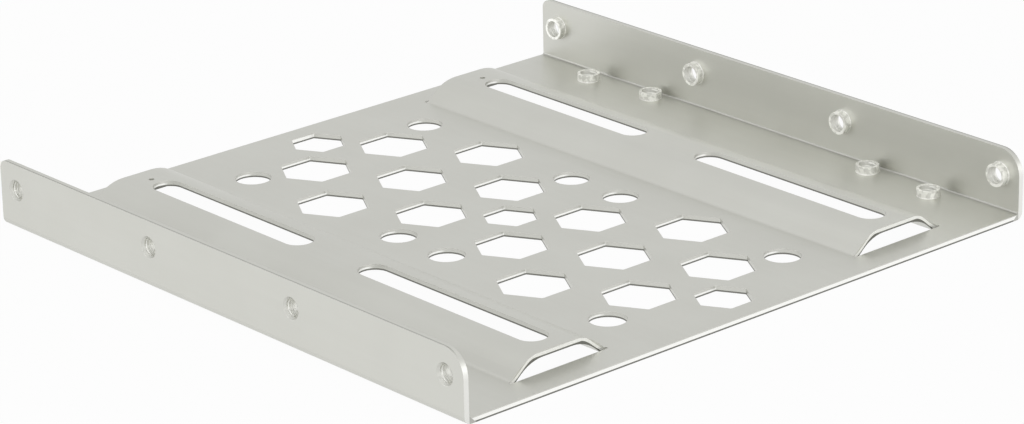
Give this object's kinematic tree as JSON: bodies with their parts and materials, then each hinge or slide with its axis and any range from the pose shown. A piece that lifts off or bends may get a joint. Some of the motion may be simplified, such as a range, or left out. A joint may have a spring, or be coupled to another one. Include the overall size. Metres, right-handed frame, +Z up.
{
  "type": "drive bay adapter bracket",
  "caption": "Shallow folded sheet tray with side flanges, raised slotted ridges, vents and drawn tapped holes that holds a small drive in a bay made for a larger one.",
  "frame": {"origin": "middle of the underside of the plate", "axes": "+X across from flange to flange, +Y from the front edge, beside the large flange corners, to the rear edge, +Z up"},
  "size_m": [0.1016, 0.097, 0.0097],
  "materials": {
    "plated_sheet": "satin zinc plate on rolled sheet"
  },
  "bodies": {
    "root": {"adapter_bracket": "plated_sheet"}
  },
  "joints": []
}
